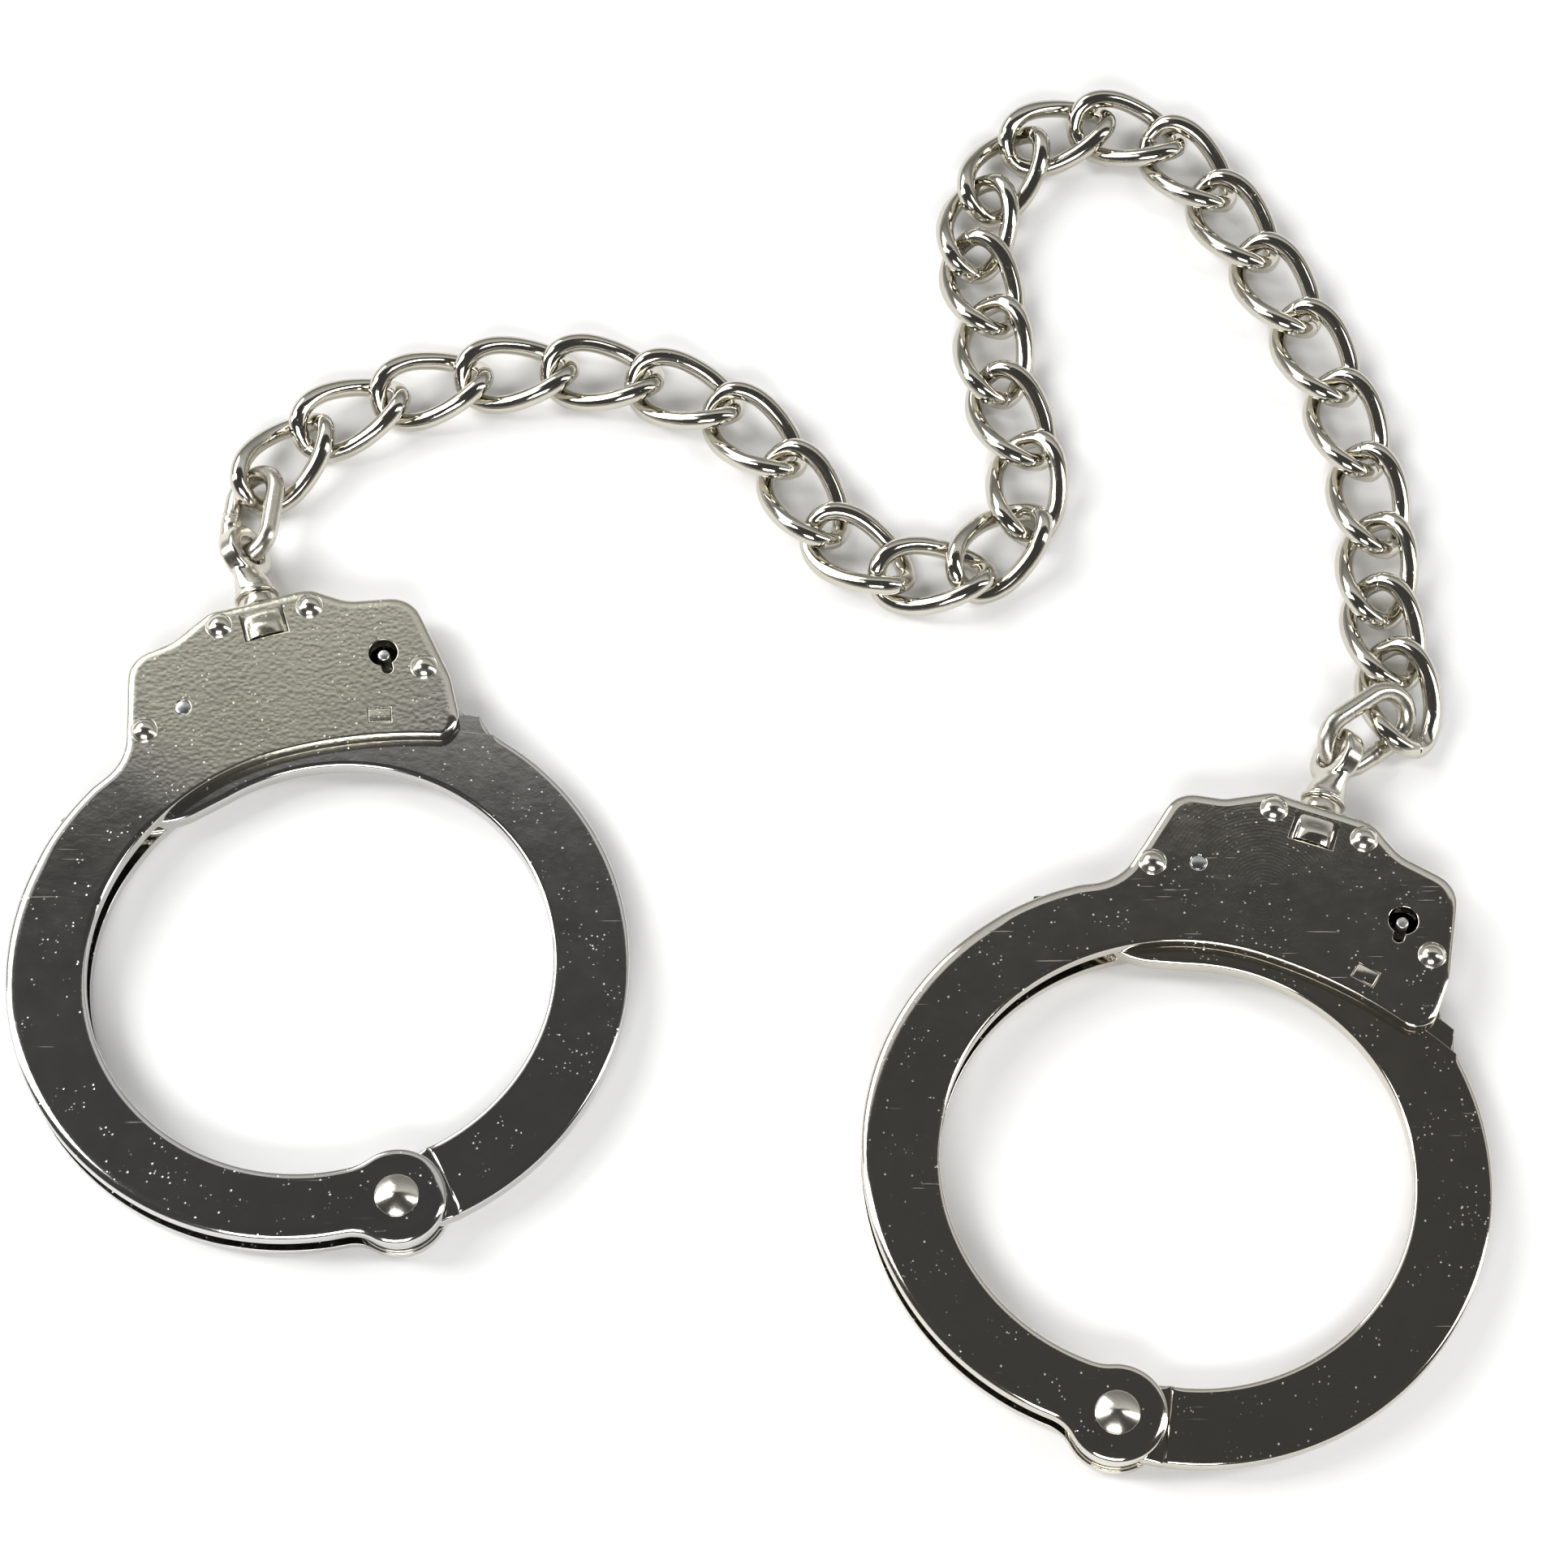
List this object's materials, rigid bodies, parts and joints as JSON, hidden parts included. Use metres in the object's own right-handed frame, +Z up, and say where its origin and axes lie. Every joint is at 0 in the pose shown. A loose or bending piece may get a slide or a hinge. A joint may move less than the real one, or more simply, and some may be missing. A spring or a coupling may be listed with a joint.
{
  "type": "handcuffs",
  "caption": "Leg-iron handcuffs: two ratchet cuffs, each with a lock case, swinging bow and swivel, joined by a long chain of twisted oval links.",
  "frame": {"origin": "centre of the bounding box on the ground plane the set lies on", "axes": "+Z up out of the flat faces of the cuffs, +Y away from the cuffs towards the far loop of the chain, +X from the left cuff to the right cuff"},
  "size_m": [0.2313, 0.2452, 0.0105],
  "materials": {
    "cheek_plate": "satin nickel plate with a fine grain and a few scratches",
    "bow_plate": "satin nickel plate",
    "rivet_nickel": "bright nickel plate",
    "chain_nickel": "bright nickel plate on round wire",
    "swivel_nickel": "bright nickel plate",
    "lock_steel": "bare hardened steel, lightly oiled",
    "spring_steel": "blued spring steel",
    "key_post_steel": "turned steel"
  },
  "bodies": {
    "left_case": {"left_front_cheek": "cheek_plate", "left_back_cheek": "cheek_plate", "left_guide_pads": "cheek_plate", "left_frame_left": "lock_steel", "left_frame_right": "lock_steel", "left_pivot_rivet": "rivet_nickel", "left_case_rivets": "rivet_nickel", "left_pawl_pin": "rivet_nickel", "left_pawl_spring": "spring_steel", "left_key_post": "key_post_steel"},
    "left_bow_arm": {"left_bow": "bow_plate"},
    "left_pawl_arm": {"left_pawl": "lock_steel"},
    "left_bolt": {"left_lock_bolt": "lock_steel"},
    "left_swivel_eye": {"left_swivel": "swivel_nickel", "left_swivel_collar": "swivel_nickel"},
    "right_case": {"right_front_cheek": "cheek_plate", "right_back_cheek": "cheek_plate", "right_guide_pads": "cheek_plate", "right_frame_left": "lock_steel", "right_frame_right": "lock_steel", "right_pivot_rivet": "rivet_nickel", "right_case_rivets": "rivet_nickel", "right_pawl_pin": "rivet_nickel", "right_pawl_spring": "spring_steel", "right_key_post": "key_post_steel"},
    "right_bow_arm": {"right_bow": "bow_plate"},
    "right_pawl_arm": {"right_pawl": "lock_steel"},
    "right_bolt": {"right_lock_bolt": "lock_steel"},
    "right_swivel_eye": {"right_swivel": "swivel_nickel", "right_swivel_collar": "swivel_nickel"},
    "ring_a": {"end_link_a": "chain_nickel"},
    "ring_b": {"end_link_b": "chain_nickel"},
    "chain_01": {"link_01": "chain_nickel"},
    "chain_02": {"link_02": "chain_nickel"},
    "chain_03": {"link_03": "chain_nickel"},
    "chain_04": {"link_04": "chain_nickel"},
    "chain_05": {"link_05": "chain_nickel"},
    "chain_06": {"link_06": "chain_nickel"},
    "chain_07": {"link_07": "chain_nickel"},
    "chain_08": {"link_08": "chain_nickel"},
    "chain_09": {"link_09": "chain_nickel"},
    "chain_10": {"link_10": "chain_nickel"},
    "chain_11": {"link_11": "chain_nickel"},
    "chain_12": {"link_12": "chain_nickel"},
    "chain_13": {"link_13": "chain_nickel"},
    "chain_14": {"link_14": "chain_nickel"},
    "chain_15": {"link_15": "chain_nickel"},
    "chain_16": {"link_16": "chain_nickel"},
    "chain_17": {"link_17": "chain_nickel"},
    "chain_18": {"link_18": "chain_nickel"},
    "chain_19": {"link_19": "chain_nickel"},
    "chain_20": {"link_20": "chain_nickel"},
    "chain_21": {"link_21": "chain_nickel"},
    "chain_22": {"link_22": "chain_nickel"},
    "chain_23": {"link_23": "chain_nickel"},
    "chain_24": {"link_24": "chain_nickel"},
    "chain_25": {"link_25": "chain_nickel"},
    "chain_26": {"link_26": "chain_nickel"},
    "chain_27": {"link_27": "chain_nickel"},
    "chain_28": {"link_28": "chain_nickel"}
  },
  "joints": [
    {"name": "left_bow_hinge", "type": "hinge", "parent": "left_case", "child": "left_bow_arm", "pos_m": [-0.05275, -0.08116, 0.0049], "axis": [0, 0, -1], "range_deg": [-200, 55]},
    {"name": "left_pawl_hinge", "type": "hinge", "parent": "left_case", "child": "left_pawl_arm", "pos_m": [-0.09053, 0.00158, 0.0049], "axis": [0, 0, 1], "range_deg": [-6.2, 2]},
    {"name": "left_bolt_slide", "type": "slide", "parent": "left_case", "child": "left_bolt", "axis": [0.9603, 0.279, 0], "range_m": [0, 0.0025]},
    {"name": "left_swivel_turn", "type": "hinge", "parent": "left_case", "child": "left_swivel_eye", "pos_m": [-0.0798, 0.02199, 0.0049], "axis": [-0.279, 0.9603, 0], "continuous": true},
    {"name": "hook_00", "type": "hinge", "parent": "left_swivel_eye", "child": "ring_a", "pos_m": [-0.08259, 0.03159, 0.0038], "axis": [0, 0, 1], "range_deg": [-1, 25]},
    {"name": "hook_01", "type": "hinge", "parent": "ring_a", "child": "chain_01", "pos_m": [-0.0815, 0.0445, 0.0038], "axis": [0, 0, -1], "range_deg": [-25, 0]},
    {"name": "hook_02", "type": "hinge", "parent": "chain_01", "child": "chain_02", "pos_m": [-0.073, 0.0555, 0.0038], "axis": [0, 0, 1], "range_deg": [-12, 25]},
    {"name": "hook_03", "type": "hinge", "parent": "chain_02", "child": "chain_03", "pos_m": [-0.06, 0.062, 0.0038], "axis": [0, 0, -1], "range_deg": [-25, 24]},
    {"name": "hook_04", "type": "hinge", "parent": "chain_03", "child": "chain_04", "pos_m": [-0.046, 0.066, 0.0038], "axis": [0, 0, 1], "range_deg": [-23, 25]},
    {"name": "hook_05", "type": "hinge", "parent": "chain_04", "child": "chain_05", "pos_m": [-0.0315, 0.0675, 0.0038], "axis": [0, 0, -1], "range_deg": [-25, 19]},
    {"name": "hook_06", "type": "hinge", "parent": "chain_05", "child": "chain_06", "pos_m": [-0.017, 0.0655, 0.0038], "axis": [0, 0, 1], "range_deg": [-18, 25]},
    {"name": "hook_07", "type": "hinge", "parent": "chain_06", "child": "chain_07", "pos_m": [-0.0035, 0.06, 0.0038], "axis": [0, 0, -1], "range_deg": [-25, 10]},
    {"name": "hook_08", "type": "hinge", "parent": "chain_07", "child": "chain_08", "pos_m": [0.0065, 0.0495, 0.0038], "axis": [0, 0, 1], "range_deg": [-18, 25]},
    {"name": "hook_09", "type": "hinge", "parent": "chain_08", "child": "chain_09", "pos_m": [0.013, 0.0365, 0.0038], "axis": [0, 0, -1], "range_deg": [-8, 25]},
    {"name": "hook_10", "type": "hinge", "parent": "chain_09", "child": "chain_10", "pos_m": [0.0245, 0.028, 0.0038], "axis": [0, 0, 1], "range_deg": [-25, 4]},
    {"name": "hook_11", "type": "hinge", "parent": "chain_10", "child": "chain_11", "pos_m": [0.0375, 0.0285, 0.0038], "axis": [0, 0, -1], "range_deg": [-6, 25]},
    {"name": "hook_12", "type": "hinge", "parent": "chain_11", "child": "chain_12", "pos_m": [0.0465, 0.038, 0.0038], "axis": [0, 0, 1], "range_deg": [-25, 7]},
    {"name": "hook_13", "type": "hinge", "parent": "chain_12", "child": "chain_13", "pos_m": [0.0475, 0.0515, 0.0038], "axis": [0, 0, -1], "range_deg": [-12, 25]},
    {"name": "hook_14", "type": "hinge", "parent": "chain_13", "child": "chain_14", "pos_m": [0.042, 0.0645, 0.0038], "axis": [0, 0, 1], "range_deg": [-19, 25]},
    {"name": "hook_15", "type": "hinge", "parent": "chain_14", "child": "chain_15", "pos_m": [0.042, 0.0775, 0.0038], "axis": [0, 0, -1], "range_deg": [-23, 22]},
    {"name": "hook_16", "type": "hinge", "parent": "chain_15", "child": "chain_16", "pos_m": [0.0385, 0.0905, 0.0038], "axis": [0, 0, 1], "range_deg": [-7, 25]},
    {"name": "hook_17", "type": "hinge", "parent": "chain_16", "child": "chain_17", "pos_m": [0.041, 0.101, 0.0038], "axis": [0, 0, -1], "range_deg": [-25, 11]},
    {"name": "hook_18", "type": "hinge", "parent": "chain_17", "child": "chain_18", "pos_m": [0.048, 0.1125, 0.0038], "axis": [0, 0, 1], "range_deg": [-7, 25]},
    {"name": "hook_19", "type": "hinge", "parent": "chain_18", "child": "chain_19", "pos_m": [0.06, 0.117, 0.0038], "axis": [0, 0, -1], "range_deg": [-25, 5]},
    {"name": "hook_20", "type": "hinge", "parent": "chain_19", "child": "chain_20", "pos_m": [0.0725, 0.113, 0.0038], "axis": [0, 0, 1], "range_deg": [-4, 25]},
    {"name": "hook_21", "type": "hinge", "parent": "chain_20", "child": "chain_21", "pos_m": [0.0805, 0.1025, 0.0038], "axis": [0, 0, -1], "range_deg": [-25, 22]},
    {"name": "hook_22", "type": "hinge", "parent": "chain_21", "child": "chain_22", "pos_m": [0.0875, 0.09, 0.0038], "axis": [0, 0, 1], "range_deg": [-23, 25]},
    {"name": "hook_23", "type": "hinge", "parent": "chain_22", "child": "chain_23", "pos_m": [0.094, 0.077, 0.0038], "axis": [0, 0, -1], "range_deg": [-25, 24]},
    {"name": "hook_24", "type": "hinge", "parent": "chain_23", "child": "chain_24", "pos_m": [0.0995, 0.0635, 0.0038], "axis": [0, 0, 1], "range_deg": [-25, 25]},
    {"name": "hook_25", "type": "hinge", "parent": "chain_24", "child": "chain_25", "pos_m": [0.103, 0.0495, 0.0038], "axis": [0, 0, -1], "range_deg": [-25, 25]},
    {"name": "hook_26", "type": "hinge", "parent": "chain_25", "child": "chain_26", "pos_m": [0.105, 0.035, 0.0038], "axis": [0, 0, 1], "range_deg": [-20, 25]},
    {"name": "hook_27", "type": "hinge", "parent": "chain_26", "child": "chain_27", "pos_m": [0.104, 0.0235, 0.0038], "axis": [0, 0, -1], "range_deg": [-17, 25]},
    {"name": "hook_28", "type": "hinge", "parent": "chain_27", "child": "chain_28", "pos_m": [0.106, 0.0115, 0.0038], "axis": [0, 0, 1], "range_deg": [-23, 25]},
    {"name": "hook_29", "type": "hinge", "parent": "chain_28", "child": "ring_b", "pos_m": [0.1075, 0, 0.0038], "axis": [0, 0, -1], "range_deg": [-7, 25]},
    {"name": "hook_30", "type": "hinge", "parent": "ring_b", "child": "right_swivel_eye", "pos_m": [0.09583, -0.00545, 0.0038], "axis": [0, 0, 1], "range_deg": [-25, 4]},
    {"name": "right_swivel_turn", "type": "hinge", "parent": "right_swivel_eye", "child": "right_case", "pos_m": [0.09267, -0.01494, 0.0049], "axis": [0.3156, 0.9489, 0], "continuous": true},
    {"name": "right_bow_hinge", "type": "hinge", "parent": "right_case", "child": "right_bow_arm", "pos_m": [0.05637, -0.1152, 0.0049], "axis": [0, 0, -1], "continuous": true},
    {"name": "right_pawl_hinge", "type": "hinge", "parent": "right_case", "child": "right_pawl_arm", "pos_m": [0.07225, -0.02564, 0.0049], "axis": [0, 0, 1], "range_deg": [-6.2, 2]},
    {"name": "right_bolt_slide", "type": "slide", "parent": "right_case", "child": "right_bolt", "axis": [0.9489, -0.3156, 0], "range_m": [0, 0.0025]}
  ]
}
